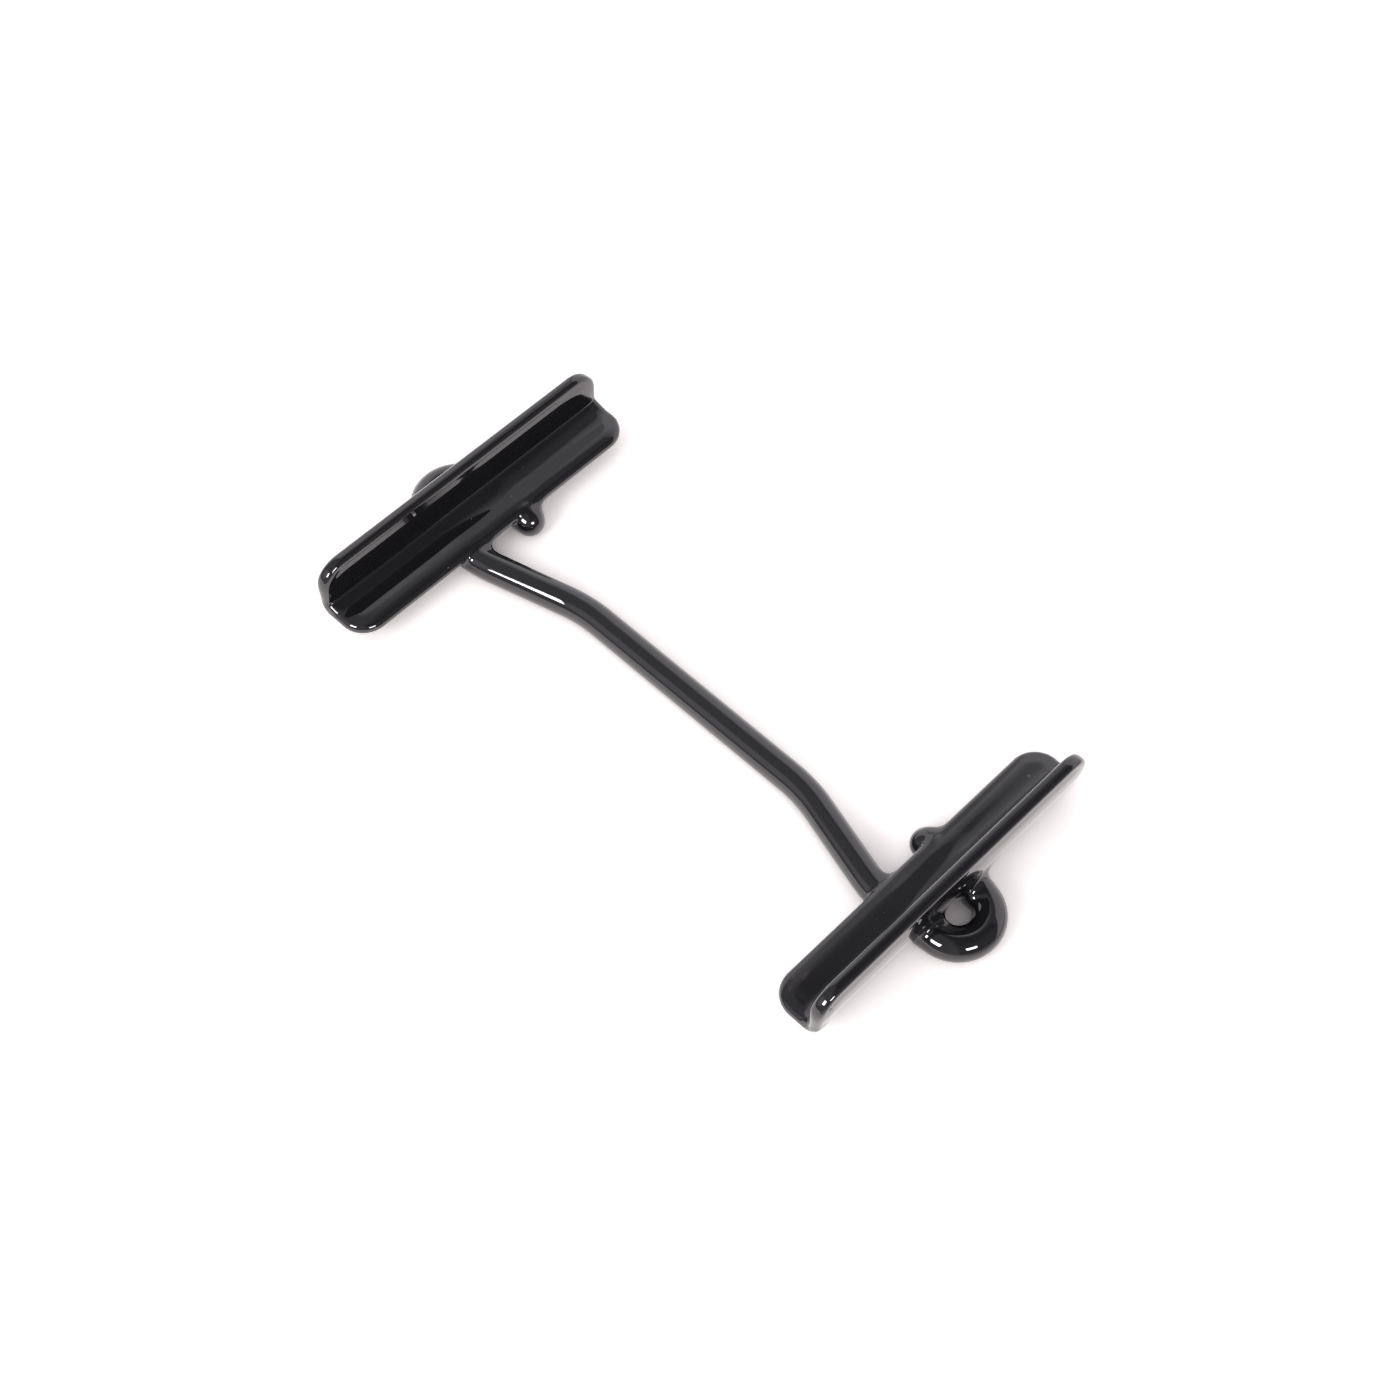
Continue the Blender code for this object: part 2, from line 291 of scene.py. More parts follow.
def addFloor():
    half = studio["floorSize"] / 2 * mm
    corners = [(-half, -half, 0), (half, -half, 0), (half, half, 0), (-half, half, 0)]
    mesh = bpy.data.meshes.new("floor")
    mesh.from_pydata(corners, [], [(0, 1, 2, 3)])
    mesh.materials.append(paperMaterial())
    floor = bpy.data.objects.new("floor", mesh)
    bpy.context.scene.collection.objects.link(floor)


bpy.context.scene.view_settings.view_transform = "Standard"
addWorld()
addLamps()
addFloor()
print("studio lit")

# Steel under the coat, as guides: the rod's middle line and the jaws' middle surface
rod = dict(
    diameter=rodHigh.z / mm,
    eyeRadius=8.8,              # hairpin bend, to the rod's middle
    splay=3.9,                  # degrees each leg opens from the eye's axis
    tailTip=69.3,               # end of the short tail, from the middle of the part
    legBend=76.0,               # corner where the long leg turns, under the flange
    offsetRun=35.0,             # along X, from that corner to the middle run's
    bendRadius=45.0,            # of both, to the rod's middle
    bendSteps=20,               # stretches that each is drawn in
    eyeSteps=72,                # and each eye
)
jaw = dict(
    thickness=3.8,
    freeEdge=jawLow.x / mm,
    base=jawLow.z / mm,
    top=jawHigh.z / mm,
    length=(jawHigh.y - jawLow.y) / mm,
    foldAngle=88.3,             # degrees, so the upright leans out a little
    foldInner=0.9,              # inside radius of the fold
    foldCentre=86.90,           # X of the fold's centre
    middle=-0.2,                # the uprights stand even about this X
    corner=7.9,                 # free corners of both flanges
    uprightCoat=0.42,           # thicker coat on the upright
    coatHeights=(10.0, 16.0),   # where it grows
    spare=0.02,                 # kept clear inside the solids' box
    edgeThin=(3.1, 3.85),       # the coat thins this near the flange's and the upright's edges
    edgeHeights=(10.0, 20.0),   # where one gives way to the other
    edgeDome=20.0,              # radius of that slope
    edgeSquare=3.0,             # how square the upright's edges are: 2 is round
    squareHeights=(15.0, 19.0), # where that takes over
    rootRadii=(                 # arc in which the coat rises to the fold, near and far end
        (13.5, 27.0),           # left jaw
        (9.5, 25.0),            # right jaw
    ),
    rootClimb=(20.0, 14.7),     # degrees that it climbs there before it turns up the upright
    rootInner=0.9,              # inside radius of that turn
    rootEase=15.0,              # along Y both ways, where one arc gives way to the other
    rootSteps=24,               # strips that it is drawn in along Y
    bead=0.15,                  # thicker round the near end, where the coat dripped off
    beadFrom=(44.5, 50.5),      # along -Y, nil and full
    cornerSteps=24,             # stretches in a corner
    foldSteps=32,               # and in each bend of the sheet
)


def reached(value, first, last):
    # share of the way from the first to the last, 0 before and 1 after
    return min(max((value - first) / (last - first), 0), 1)


def bend(before, corner, after):
    # points of the round bend that stands in for a corner
    wayIn = (corner - before).normalized()
    wayOut = (after - corner).normalized()
    half = wayIn.angle(wayOut) / 2
    radius = rod["bendRadius"]
    start = corner - wayIn * radius * math.tan(half)
    centre = corner + (wayOut - wayIn).normalized() * radius / math.cos(half)
    turns = [2 * half * step / rod["bendSteps"] for step in range(rod["bendSteps"] + 1)]
    return [centre + (start - centre) * math.cos(turn) + wayIn * radius * math.sin(turn) for turn in turns]


def rodLine():
    # one half from its tail round the eye to the middle, then the same back along the other
    height = rod["diameter"] / 2
    splay = math.radians(rod["splay"])
    eyeCentre = rodHigh.x / mm - rod["diameter"] / 2 - rod["eyeRadius"]
    tail = Vector((-math.cos(splay), math.sin(splay), 0))
    leg = Vector((-math.cos(splay), -math.sin(splay), 0))
    eye = Vector((eyeCentre, 0, height))
    sweep = math.pi / 2 - splay
    turns = [sweep - 2 * sweep * step / rod["eyeSteps"] for step in range(rod["eyeSteps"] + 1)]
    loop = [eye + rod["eyeRadius"] * Vector((math.cos(turn), math.sin(turn), 0)) for turn in turns]

    tailRun = (loop[0].x - rod["tailTip"]) / math.cos(splay) - height
    legRun = (loop[-1].x - rod["legBend"]) / math.cos(splay)
    legCorner = loop[-1] + leg * legRun
    middleCorner = Vector((rod["legBend"] - rod["offsetRun"], 0, height))
    half = [loop[0] + tail * tailRun] + loop
    half += bend(loop[-1], legCorner, middleCorner)
    half += bend(legCorner, middleCorner, Vector((0, 0, height)))
    return half + [Vector((-point.x, point.y, point.z)) for point in half[::-1]]


def edgeHalf(height):
    # half the coated sheet's thickness where it ends, at this height
    share = reached(height, *jaw["edgeHeights"])
    thin = jaw["edgeThin"][0] * (1 - share) + jaw["edgeThin"][1] * share
    share = reached(height, *jaw["coatHeights"])
    grown = jaw["uprightCoat"] * share * share * (3 - 2 * share)
    return jaw["thickness"] / 2 + grown - thin * thin / jaw["edgeDome"] / 2 + jaw["spare"]


def jawRows(foldCentre):
    # the blank's middle surface, row by row from the free edge to the upright's top
    angle = math.radians(jaw["foldAngle"])
    half = jaw["thickness"] / 2
    radius = jaw["foldInner"] + half
    flat = foldCentre - jaw["freeEdge"]
    bendLength = radius * angle
    upright = (jaw["top"] - jaw["base"] - half - radius * (1 - math.cos(angle))) / math.sin(angle)
    corner = jaw["corner"]
    straight = jaw["length"] / 2 - corner
    quarter = [math.pi / 2 * step / jaw["cornerSteps"] for step in range(jaw["cornerSteps"] + 1)]
    folds = range(jaw["foldSteps"] + 1)
    far = flat + bendLength + upright - corner
    # centre of each point's corner along the blank, and its way out from there
    blank = [(corner, -math.cos(turn), math.sin(turn)) for turn in quarter]
    blank += [(flat + bendLength * step / jaw["foldSteps"], 0, 1) for step in folds]
    blank += [(far, math.sin(turn), math.cos(turn)) for turn in quarter]

    rows = []
    for centre, out, aside in blank:
        rise = max(centre + corner * out - flat - bendLength, 0) * math.sin(angle)
        edge = edgeHalf(jaw["base"] + half + radius * (1 - math.cos(angle)) + rise if rise else 0)
        row = []
        for end, inset in ((-1, edge + jaw["bead"] * aside), (1, edge)):
            along = centre + (corner - inset) * out
            across = straight + (corner - inset) * aside
            turn = min(max((along - flat) / radius, 0), angle)
            before = min(along - flat, 0)
            after = max(along - flat - bendLength, 0)
            x = foldCentre + radius * math.sin(turn) + before + after * math.cos(angle)
            z = jaw["base"] + half + radius * (1 - math.cos(turn)) + after * math.sin(angle)
            row.append((x, end * across, z))
        rows.append(row)
    return rows


def rootRows(foldCentre, radii):
    # sheet under the coat's rise to the fold: a long arc off the flange, then a tight one
    angle = math.radians(jaw["foldAngle"])
    half = jaw["thickness"] / 2
    face = jaw["base"] + jaw["thickness"]
    foldX = foldCentre + jaw["foldInner"] * math.sin(angle)
    foldZ = face + jaw["foldInner"] * (1 - math.cos(angle))
    tight = jaw["rootInner"]
    rows = []
    for place in range(jaw["rootSteps"] + 1):
        share = place / jaw["rootSteps"]
        ease = reached((2 * share - 1) * jaw["length"] / 2, -jaw["rootEase"], jaw["rootEase"])
        ease = ease * ease * (3 - 2 * ease)
        long = radii[0] * (1 - ease) + radii[1] * ease
        climb = math.radians(jaw["rootClimb"][0] * (1 - ease) + jaw["rootClimb"][1] * ease)
        tightZ = face + tight * math.cos(climb) + long * (1 - math.cos(climb))
        tightX = foldX - (tight - (tightZ - foldZ) * math.cos(angle)) / math.sin(angle)
        longX = tightX - (long - tight) * math.sin(climb)
        longZ = tightZ + (long - tight) * math.cos(climb)
        turns = [climb * step / jaw["foldSteps"] for step in range(jaw["foldSteps"])]
        row = [(longX + (long + half) * math.sin(turn), longZ - (long + half) * math.cos(turn))
               for turn in turns]
        turns = [climb + (angle - climb) * step / jaw["foldSteps"] for step in range(jaw["foldSteps"] + 1)]
        row += [(tightX + (tight + half) * math.sin(turn), tightZ - (tight + half) * math.cos(turn))
                for turn in turns]
        across = (jaw["length"] / 2 - half) * (2 * share - 1) + jaw["bead"] * (1 - share)
        rows.append([(x, across, z) for x, z in row])
    return rows


def guideMesh():
    bm = bmesh.new()
    outline = bm.edges.layers.int.new("outline")

    def placed(rows, side):
        return [[bm.verts.new((side * x * mm, y * mm, z * mm)) for x, y, z in row] for row in rows]

    line = [bm.verts.new(point * mm) for point in rodLine()]
    for first, second in zip(line, line[1:]):
        bm.edges.new((first, second))
    for side, radii in zip((-1, 1), jaw["rootRadii"]):
        foldCentre = jaw["foldCentre"] + side * jaw["middle"]
        rows = placed(jawRows(foldCentre), side)
        for low, high in zip(rows, rows[1:]):
            sheet = bm.faces.new((low[0], low[1], high[1], high[0]))
            sheet.edges[0][outline] = low is rows[0]
            sheet.edges[1][outline] = sheet.edges[3][outline] = 1
            sheet.edges[2][outline] = high is rows[-1]
        rows = placed(rootRows(foldCentre, radii), side)
        for low, high in zip(rows, rows[1:]):
            for near in range(len(low) - 1):
                bm.faces.new((low[near], low[near + 1], high[near + 1], high[near]))
    mesh = bpy.data.meshes.new("guides")
    bm.to_mesh(mesh)
    bm.free()
    return mesh


# Coat: the skin lies where a smooth mix of the two distances is nil, so it runs over
# the joints in webs as the thick liquid did
coat = dict(
    web=6.0,                    # reach of the webs on the side it drained to
    crease=1.8,                 # and on the other side
    webSide=(-2.0, 3.0),        # across a leg, where one gives way to the other
    eyeWeb=6.5,                 # both again at the eyes, where it also pools inside
    eyeCrease=2.4,
    eyeWebSide=(-8.0, -4.5),    # along Y
    eyeSide=(86.0, 91.0),       # distance from the part's middle, where the eyes' reach takes over
    topWeb=0.3,                 # reach above the flange
    topHeights=(7.6, 9.4),      # where that takes over
    stubWeb=3.0,                # reach at that height over the short tails
    stubSide=(-2.0, 2.0),       # along Y, nil and full
    stubFrom=(73.0, 79.0),      # distance from the part's middle, full and nil
    swell=0.05,                 # extra coat on the flange over each leg
    swellAcross=9.0,            # to where it runs out, across the leg
    eyeFill=0.7,                # thicker round the inside of an eye
    eyeFillFrom=(4.2, 8.0),     # distance from the eye's middle, full and nil
    voxel=0.55,                 # size of the cells that the skin is first drawn through
    margin=1.5,                 # room round the part in the block of cells
    evenSteps=3,                # times that its points are evened out
    settleSteps=4,              # times that they then move onto the exact surface
)


def coatSizes():
    # inputs of the coat's tree, with its lengths in metres
    angle = math.radians(jaw["foldAngle"])
    radius = jaw["foldInner"] + jaw["thickness"] / 2
    footX = jaw["foldCentre"] + radius * math.sin(angle)
    footZ = jaw["base"] + jaw["thickness"] / 2 + radius * (1 - math.cos(angle))
    lengths = {
        "Sheet Half": jaw["thickness"] / 2,
        "Rod Radius": rod["diameter"] / 2,
        "Web": coat["web"],
        "Crease": coat["crease"],
        "Eye Web": coat["eyeWeb"],
        "Eye Crease": coat["eyeCrease"],
        "Stub Web": coat["stubWeb"],
        "Top Web": coat["topWeb"],
        "Swell": coat["swell"],
        "Swell Across": coat["swellAcross"],
        "Eye Centre": rodHigh.x / mm - rod["diameter"] / 2 - rod["eyeRadius"],
        "Eye Fill": coat["eyeFill"],
        "Flange Thin": jaw["edgeThin"][0],
        "Upright Thin": jaw["edgeThin"][1],
        "Upright Coat": jaw["uprightCoat"],
        "Upright Middle": jaw["middle"],
        "Edge Dome": jaw["edgeDome"],
        "Bead": jaw["bead"],
        "Voxel": coat["voxel"],
    }
    spans = {
        "Web": coat["webSide"],
        "Eye Web": coat["eyeWebSide"],
        "Eye": coat["eyeSide"],
        "Stub": coat["stubSide"],
        "Stub End": coat["stubFrom"],
        "Top": coat["topHeights"],
        "Fill": coat["eyeFillFrom"],
        "Coat": jaw["coatHeights"],
        "Thin": jaw["edgeHeights"],
        "Square": jaw["squareHeights"],
        "Bead": jaw["beadFrom"],
    }
    for name, ends in spans.items():
        lengths[name + " From"], lengths[name + " To"] = ends
    margin = Vector((1, 1, 1)) * coat["margin"] * mm
    return {
        **{name: length * mm for name, length in lengths.items()},
        "Edge Square": jaw["edgeSquare"],
        "Upright Foot": Vector((footX, 0, footZ)) * mm,
        "Upright Out": Vector((math.sin(angle), 0, -math.cos(angle))),
        "Low Corner": Vector(cadBox[0]) - margin,
        "High Corner": Vector(cadBox[1]) + margin,
    }


def nearest(tree, guides):
    # distances to the rod's middle line, the jaws and the jaws' free edges
    neighbours = addNode(tree, "GeometryNodeInputMeshEdgeNeighbors")
    loose = addNode(tree, "FunctionNodeCompare", {"A": neighbours, "B": 0}, data_type="INT",
                    operation="EQUAL")
    onOutline = addNode(tree, "GeometryNodeInputNamedAttribute", {"Name": "outline"}, data_type="INT")
    parts, outline = (addNode(tree, "GeometryNodeSeparateGeometry", {"Geometry": guides, "Selection": chosen},
                              domain="EDGE").outputs for chosen in (loose, onOutline))
    return (addNode(tree, "GeometryNodeProximity", {"Geometry": part}, target_element=element).outputs
            for part, element in ((parts["Selection"], "EDGES"), (parts["Inverted"], "FACES"),
                                  (outline["Selection"], "EDGES")))


def otherSide(tree, longest, side):
    # third side of a right-angled triangle
    longest, side = (addNode(tree, "ShaderNodeMath", {0: length, 1: 2.0}, operation="POWER")
                     for length in (longest, side))
    other = addNode(tree, "ShaderNodeMath", {0: longest, 1: side}, operation="SUBTRACT")
    other = addNode(tree, "ShaderNodeMath", {0: other, 1: 0.0}, operation="MAXIMUM")
    return addNode(tree, "ShaderNodeMath", {0: other}, operation="SQRT")


def squaredDistance(tree, given, here, toJaw):
    # distance to the jaws, mixed near the upright's edges so that they come out squarer than round
    place = addNode(tree, "ShaderNodeMath", {0: here["X"], 1: given["Upright Middle"]}, operation="SUBTRACT")
    place = addNode(tree, "ShaderNodeMath", {0: place}, operation="ABSOLUTE")
    place = addNode(tree, "ShaderNodeCombineXYZ", {"X": place, "Z": here["Z"]})
    place = addNode(tree, "ShaderNodeVectorMath", {0: place, 1: given["Upright Foot"]}, operation="SUBTRACT")
    off = addNode(tree, "ShaderNodeVectorMath", {0: place, 1: given["Upright Out"]}, operation="DOT_PRODUCT")
    off = addNode(tree, "ShaderNodeMath", {0: off}, operation="ABSOLUTE")
    past = otherSide(tree, toJaw["Distance"], off)
    past, off = (addNode(tree, "ShaderNodeMath", {0: part, 1: given["Edge Square"]}, operation="POWER")
                 for part in (past, off))
    square = addNode(tree, "ShaderNodeMath", {0: past, 1: off}, operation="ADD")
    root = addNode(tree, "ShaderNodeMath", {0: 1.0, 1: given["Edge Square"]}, operation="DIVIDE")
    square = addNode(tree, "ShaderNodeMath", {0: square, 1: root}, operation="POWER")
    return addNode(tree, "ShaderNodeMapRange", {"Value": here["Z"], "From Min": given["Square From"],
                   "From Max": given["Square To"], "To Min": toJaw["Distance"], "To Max": square},
                   interpolation_type="SMOOTHSTEP")


def jawGap(tree, given, here, acrossLeg, toJaw, toEdge):
    # distance outside the coated jaws. The coat is thicker on the upright
    gap = squaredDistance(tree, given, here, toJaw)
    gap = addNode(tree, "ShaderNodeMath", {0: gap, 1: given["Sheet Half"]}, operation="SUBTRACT")
    grown = addNode(tree, "ShaderNodeMapRange", {"Value": here["Z"], "From Min": given["Coat From"],
                    "From Max": given["Coat To"], "To Min": 0.0, "To Max": given["Upright Coat"]},
                    interpolation_type="SMOOTHSTEP")

    # it draws thin towards the free edges
    along = otherSide(tree, toEdge["Distance"], toJaw["Distance"])
    edgeThin = addNode(tree, "ShaderNodeMapRange", {"Value": here["Z"], "From Min": given["Thin From"],
                       "From Max": given["Thin To"], "To Min": given["Flange Thin"],
                       "To Max": given["Upright Thin"]})
    inside = addNode(tree, "ShaderNodeMath", {0: edgeThin, 1: along}, operation="SUBTRACT")
    inside = addNode(tree, "ShaderNodeMath", {0: inside, 1: 0.0}, operation="MAXIMUM")
    square = addNode(tree, "ShaderNodeMath", {0: inside, 1: inside}, operation="MULTIPLY")
    dome = addNode(tree, "ShaderNodeMath", {0: given["Edge Dome"], 1: 2.0}, operation="MULTIPLY")
    thin = addNode(tree, "ShaderNodeMath", {0: square, 1: dome}, operation="DIVIDE")

    # it hangs in a bead round the near end
    down = addNode(tree, "ShaderNodeMath", {0: here["Y"], 1: -1.0}, operation="MULTIPLY")
    bead = addNode(tree, "ShaderNodeMapRange", {"Value": down, "From Min": given["Bead From"],
                   "From Max": given["Bead To"], "To Min": 0.0, "To Max": given["Bead"]},
                   interpolation_type="SMOOTHSTEP")

    # and it is a little thicker on the flange over each leg, whose steel kept it hot
    most = addNode(tree, "ShaderNodeMapRange", {"Value": here["Z"], "From Min": given["Coat From"],
                   "From Max": given["Coat To"], "To Min": given["Swell"], "To Max": 0.0},
                   interpolation_type="SMOOTHSTEP")
    beside = addNode(tree, "ShaderNodeMath", {0: acrossLeg}, operation="ABSOLUTE")
    swell = addNode(tree, "ShaderNodeMapRange", {"Value": beside, "From Min": 0.0,
                    "From Max": given["Swell Across"], "To Min": most, "To Max": 0.0},
                    interpolation_type="SMOOTHSTEP")
    for change, operation in ((grown, "SUBTRACT"), (thin, "ADD"), (bead, "SUBTRACT"), (swell, "SUBTRACT")):
        gap = addNode(tree, "ShaderNodeMath", {0: gap, 1: change}, operation=operation)
    return gap


def rodGap(tree, given, here, aside, toRod):
    # distance outside the coated rod, with a little more coat inside the eyes
    gap = addNode(tree, "ShaderNodeMath", {0: toRod["Distance"], 1: given["Rod Radius"]},
                  operation="SUBTRACT")
    aside = addNode(tree, "ShaderNodeMath", {0: aside, 1: given["Eye Centre"]}, operation="SUBTRACT")
    fromEye = addNode(tree, "ShaderNodeCombineXYZ", {"X": aside, "Y": here["Y"]})
    fromEye = addNode(tree, "ShaderNodeVectorMath", {0: fromEye}, operation="LENGTH")
    fill = addNode(tree, "ShaderNodeMapRange", {"Value": fromEye, "From Min": given["Fill From"],
                   "From Max": given["Fill To"], "To Min": given["Eye Fill"], "To Max": 0.0},
                   interpolation_type="SMOOTHSTEP")
    return addNode(tree, "ShaderNodeMath", {0: gap, 1: fill}, operation="SUBTRACT")


def webReach(tree, given, here, aside, acrossLeg):
    # how far the coat bridges from rod to jaw: each step eases from one reach to another over a span
    reach = {name: given[name] for name in ("Web", "Crease", "Top Web", "Stub Web", "Eye Web", "Eye Crease")}
    steps = (
        ("Leg", acrossLeg, "Web", "Crease", "Web"),
        ("Tail", here["Y"], "Stub", "Top Web", "Stub Web"),
        ("Top", aside, "Stub End", "Tail", "Top Web"),
        ("Jaw", here["Z"], "Top", "Leg", "Top"),
        ("Eye", here["Y"], "Eye Web", "Eye Crease", "Eye Web"),
        ("All", aside, "Eye", "Jaw", "Eye"),
    )
    for name, place, span, first, last in steps:
        reach[name] = addNode(tree, "ShaderNodeMapRange", {"Value": place, "From Min": given[span + " From"],
                              "From Max": given[span + " To"], "To Min": reach[first],
                              "To Max": reach[last]}, interpolation_type="SMOOTHSTEP")
    return reach["All"]


def skinAt(tree, given, gap):
    # a block of cells round the part holds the depth in the coat, and its nil surface is the skin
    depth = addNode(tree, "ShaderNodeMath", {0: gap, 1: -1.0}, operation="MULTIPLY")
    span = addNode(tree, "ShaderNodeVectorMath", {0: given["High Corner"], 1: given["Low Corner"]},
                   operation="SUBTRACT")
    cells = addNode(tree, "ShaderNodeVectorMath", {0: span, 1: given["Voxel"]}, operation="DIVIDE")
    count = addNode(tree, "ShaderNodeSeparateXYZ", {0: cells}).outputs
    block = addNode(tree, "GeometryNodeVolumeCube", {"Density": depth, "Background": -1.0,
                    "Min": given["Low Corner"], "Max": given["High Corner"], "Resolution X": count["X"],
                    "Resolution Y": count["Y"], "Resolution Z": count["Z"]})
    skin = addNode(tree, "GeometryNodeVolumeToMesh", {"Volume": block, "Threshold": 0.0})

    # its points are evened out, then each settles along its normal onto the exact surface
    even = addNode(tree, "GeometryNodeInputPosition")
    even = addNode(tree, "GeometryNodeBlurAttribute", {"Value": even, "Iterations": coat["evenSteps"]},
                   data_type="FLOAT_VECTOR")
    skin = addNode(tree, "GeometryNodeSetPosition", {"Geometry": skin, "Position": even})
    normal = addNode(tree, "GeometryNodeInputNormal").outputs[0]
    push = addNode(tree, "ShaderNodeVectorMath", {0: normal, "Scale": depth}, operation="SCALE")
    for step in range(coat["settleSteps"]):
        skin = addNode(tree, "GeometryNodeSetPosition", {"Geometry": skin, "Offset": push})
    return skin


def dipTree(sizes):
    tree = bpy.data.node_groups.new("dipCoat", "GeometryNodeTree")
    kinds = {float: "NodeSocketFloat", Vector: "NodeSocketVector"}
    tree.interface.new_socket("Guides", in_out="INPUT", socket_type="NodeSocketGeometry")
    for name, size in sizes.items():
        tree.interface.new_socket(name, in_out="INPUT", socket_type=kinds[type(size)])
    tree.interface.new_socket("Material", in_out="INPUT", socket_type="NodeSocketMaterial")
    tree.interface.new_socket("Coat", in_out="OUTPUT", socket_type="NodeSocketGeometry")
    given = addNode(tree, "NodeGroupInput").outputs

    here = addNode(tree, "GeometryNodeInputPosition")
    here = addNode(tree, "ShaderNodeSeparateXYZ", {0: here}).outputs
    aside = addNode(tree, "ShaderNodeMath", {0: here["X"]}, operation="ABSOLUTE")
    toRod, toJaw, toEdge = nearest(tree, given["Guides"])
    onRod = addNode(tree, "ShaderNodeSeparateXYZ", {0: toRod["Position"]}).outputs
    acrossLeg = addNode(tree, "ShaderNodeMath", {0: here["Y"], 1: onRod["Y"]}, operation="SUBTRACT")

    gap = addNode(tree, "ShaderNodeMath", {0: rodGap(tree, given, here, aside, toRod),
                  1: jawGap(tree, given, here, acrossLeg, toJaw, toEdge),
                  2: webReach(tree, given, here, aside, acrossLeg)}, operation="SMOOTH_MIN")
    skin = skinAt(tree, given, gap)
    skin = addNode(tree, "GeometryNodeSetShadeSmooth", {"Geometry": skin})
    skin = addNode(tree, "GeometryNodeRealizeInstances", {"Geometry": skin})
    skin = addNode(tree, "GeometryNodeSetMaterial", {"Geometry": skin, "Material": given["Material"]})
    addNode(tree, "NodeGroupOutput", {0: skin})
    return tree


# Dipped PVC: liquid plastisol drained off and cured, so it is black all through and wet
# glossy. The rest is what the eye picks up on a used part: a faint orange peel that
# ripples the reflections' edges, haze where it was handled, dust, and a few marks.
finish = dict(
    black="#151417",
    grey="#1b1a1d",             # towards this in clouds
    cloud=(11.0, 3.0),          # their size and detail
    cloudRange=(0.35, 0.75),    # noise between which the gloss goes dull
    roughness=0.01,
    haze=0.025,                 # roughness in the clouds
    ior=1.54,
    peel=(2.6, 1.0),            # orange peel, crest to crest, and its detail
    peelDepth=0.0016,
    dust="#8f877e",
    dustSpacing=2.6,            # one grain at most in each cell of this size
    dustRadius=(0.05, 0.16),
    dustShare=(0.08, 0.3),      # share of the cells that hold one, in clean and in dusty places
    dustPatch=(35.0, 1.0),      # size and detail of those places
    patchRange=(0.5, 0.65),     # noise between which it gets dusty
    dustRoughness=0.7,
    marks=(                     # colour, place, reach along each axis, strength, grain
        ("#43362f", (78.3, -43.2, 9.5), (1.2, 5.5, 1.5), 0.35, 2.2),        # brown smear
        ("#8f877e", (81.0, 41.4, 9.5), (0.6, 0.6, 0.6), 0.3, 3.0),          # speck
        ("#5c5856", (85.1, -45.9, 10.4), (0.8, 1.3, 1.2), 0.6, 0.7),        # loose scraps
        ("#5c5856", (86.2, -49.2, 10.6), (0.7, 1.1, 1.2), 0.5, 0.7),
        # the pit's recess is not modelled: its darkness is painted shade on a dull patch
        ("#0c0b0c", (91.7, -47.4, 18.8), (1.4, 0.8, 0.8), 1.0, 1.1),        # pit
    ),
    markCore=0.5,               # share of its reach where a mark is at its strongest
    markDetail=4.0,
    markRange=(0.32, 0.48),     # noise between which a mark shows
)


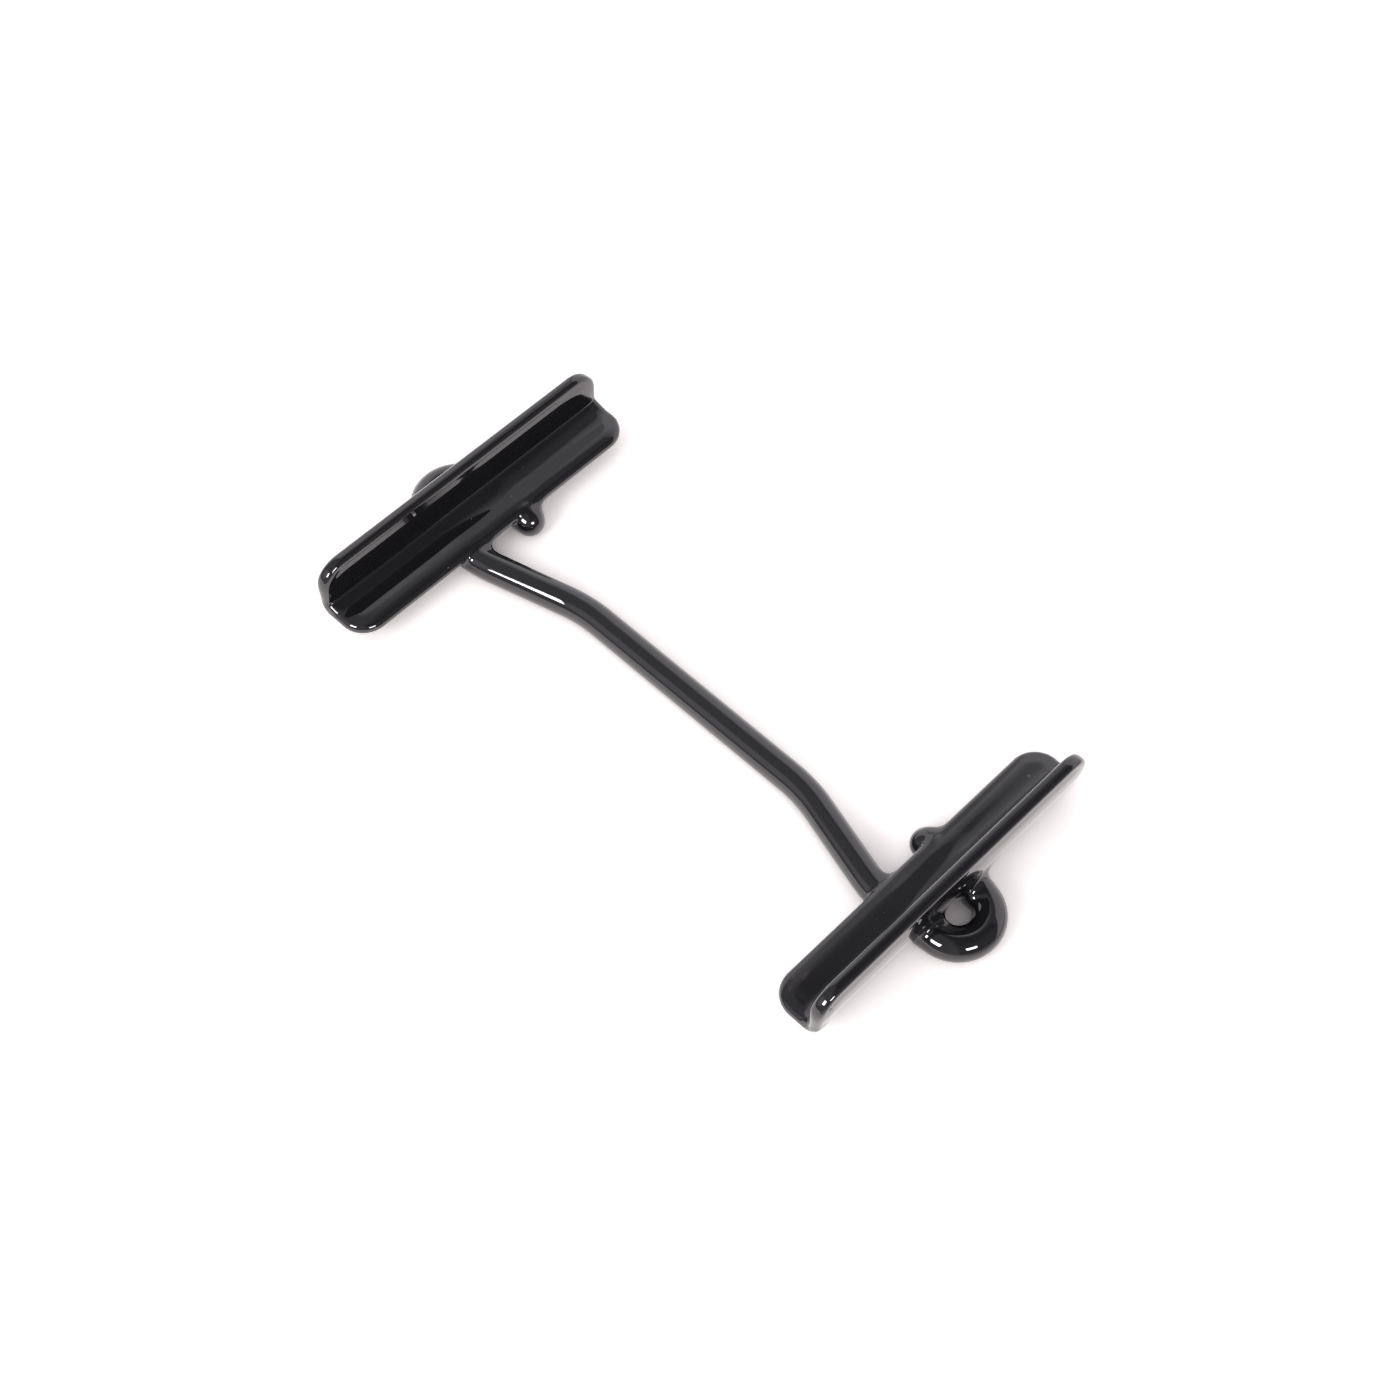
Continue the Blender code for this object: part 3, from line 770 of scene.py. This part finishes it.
def coatMaterial():
    material = bpy.data.materials.new("dipped_black_pvc")
    material.use_nodes = True
    tree = material.node_tree
    shader = tree.nodes["Principled BSDF"]
    shader.inputs["IOR"].default_value = finish["ior"]
    shader.inputs["Metallic"].default_value = 0.0
    place = addNode(tree, "ShaderNodeTexCoord").outputs["Object"]
    cloud, patch, ripple = (addNode(tree, "ShaderNodeTexNoise", {"Vector": place, "Scale": 1 / (size * mm),
                                    "Detail": detail})
                            for size, detail in (finish["cloud"], finish["dustPatch"], finish["peel"]))

    # clouds of slightly greyer, duller skin break up what would look like moulded plastic
    tint = addNode(tree, "ShaderNodeMix", {"Factor": cloud, "A": colour(finish["black"]),
                   "B": colour(finish["grey"])}, data_type="RGBA")
    gloss = addNode(tree, "ShaderNodeMapRange", {"Value": cloud, "From Min": finish["cloudRange"][0],
                    "From Max": finish["cloudRange"][1], "To Min": finish["roughness"],
                    "To Max": finish["haze"]})

    # single grains of pale dust, closer together in some places
    cells = addNode(tree, "ShaderNodeTexVoronoi", {"Vector": place,
                    "Scale": 1 / (finish["dustSpacing"] * mm)}).outputs
    chance = addNode(tree, "ShaderNodeSeparateColor", {0: cells["Color"]}).outputs
    least, most = (radius / finish["dustSpacing"] for radius in finish["dustRadius"])
    radius = addNode(tree, "ShaderNodeMapRange", {"Value": chance["Green"], "To Min": least, "To Max": most})
    share = addNode(tree, "ShaderNodeMapRange", {"Value": patch, "From Min": finish["patchRange"][0],
                    "From Max": finish["patchRange"][1], "To Min": finish["dustShare"][0],
                    "To Max": finish["dustShare"][1]})
    inGrain = addNode(tree, "ShaderNodeMath", {0: cells["Distance"], 1: radius}, operation="LESS_THAN")
    held = addNode(tree, "ShaderNodeMath", {0: chance["Red"], 1: share}, operation="LESS_THAN")
    grain = addNode(tree, "ShaderNodeMath", {0: inGrain, 1: held}, operation="MULTIPLY")

    # marks, each rougher than the skin round it; the pit's dark colour is painted shade
    dull = grain
    for code, middle, reach, strength, size in finish["marks"]:
        away = addNode(tree, "ShaderNodeVectorMath", {0: place, 1: Vector(middle) * mm}, operation="SUBTRACT")
        away = addNode(tree, "ShaderNodeVectorMath", {0: away, 1: Vector(reach) * mm}, operation="DIVIDE")
        away = addNode(tree, "ShaderNodeVectorMath", {0: away}, operation="LENGTH")
        away = addNode(tree, "ShaderNodeMapRange", {"Value": away, "From Min": finish["markCore"],
                       "To Min": strength, "To Max": 0.0})
        broken = addNode(tree, "ShaderNodeTexNoise", {"Vector": place, "Scale": 1 / (size * mm),
                         "Detail": finish["markDetail"]})
        broken = addNode(tree, "ShaderNodeMapRange", {"Value": broken, "From Min": finish["markRange"][0],
                         "From Max": finish["markRange"][1]})
        mark = addNode(tree, "ShaderNodeMath", {0: away, 1: broken}, operation="MULTIPLY")
        tint = addNode(tree, "ShaderNodeMix", {"Factor": mark, "A": tint, "B": colour(code)},
                       data_type="RGBA")
        dull = addNode(tree, "ShaderNodeMath", {0: dull, 1: mark}, operation="MAXIMUM")
    tint = addNode(tree, "ShaderNodeMix", {"Factor": grain, "A": tint, "B": colour(finish["dust"])},
                   data_type="RGBA")
    gloss = addNode(tree, "ShaderNodeMix", {"Factor": dull, "A": gloss, "B": finish["dustRoughness"]})

    # low, even ripples, far finer than the part's shape
    peel = addNode(tree, "ShaderNodeBump", {"Height": ripple, "Strength": 1.0,
                   "Distance": finish["peelDepth"] * mm})
    for name, node, output in (("Base Color", tint, "Result"), ("Roughness", gloss, "Result"),
                               ("Normal", peel, "Normal")):
        tree.links.new(node.outputs[output], shader.inputs[name])
    return material


def addCoat():
    coatObject = bpy.data.objects.new("pvc_coat", guideMesh())
    bpy.context.scene.collection.objects.link(coatObject)
    sizes = coatSizes()
    tree = dipTree(sizes)
    dip = coatObject.modifiers.new("dip", "NODES")
    dip.node_group = tree
    values = {**sizes, "Material": coatMaterial()}
    for socket in tree.interface.items_tree:
        if socket.in_out == "INPUT" and socket.name in values:
            dip[socket.identifier] = values[socket.name]
    evaluated = coatObject.evaluated_get(bpy.context.evaluated_depsgraph_get())
    skin = bpy.data.meshes.new_from_object(evaluated)
    coatObject.modifiers.remove(dip)
    coatObject.data = skin
    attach(coatObject, "root")
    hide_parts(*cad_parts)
    print("coat dipped,", len(skin.polygons), "faces")


addCoat()
